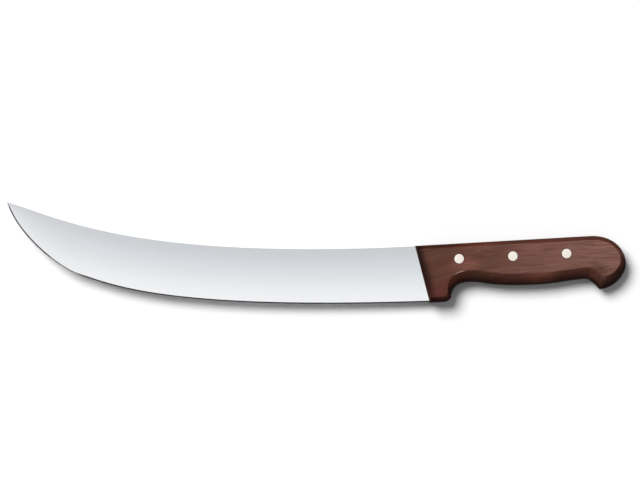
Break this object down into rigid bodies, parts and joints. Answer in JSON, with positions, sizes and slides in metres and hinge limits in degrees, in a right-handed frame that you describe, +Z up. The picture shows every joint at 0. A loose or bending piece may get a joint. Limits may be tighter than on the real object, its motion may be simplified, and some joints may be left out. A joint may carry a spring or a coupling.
{
  "type": "butcher knife",
  "caption": "Curved butcher knife: upswept steel blade with a full tang, and a riveted wooden handle with a finger guard and a hooked butt.",
  "frame": {"origin": "middle of the knife's box, on the surface that it lies on", "axes": "+X along the rivet line from the point to the butt, +Y from the cutting edge to the spine, +Z up through the blade's thickness"},
  "size_m": [0.4524, 0.0892, 0.02],
  "materials": {
    "steel": "fine satin grind from spine to edge, sharpened bevel",
    "wood": "satin oiled rosewood with fine lengthwise grain",
    "rivet": "polished nickel silver"
  },
  "bodies": {
    "root": {"blade": "steel", "left_scale": "wood", "right_scale": "wood", "front_rivet_pin": "rivet", "middle_rivet_pin": "rivet", "rear_rivet_pin": "rivet", "front_rivet_sleeve": "rivet", "middle_rivet_sleeve": "rivet", "rear_rivet_sleeve": "rivet"}
  },
  "joints": []
}
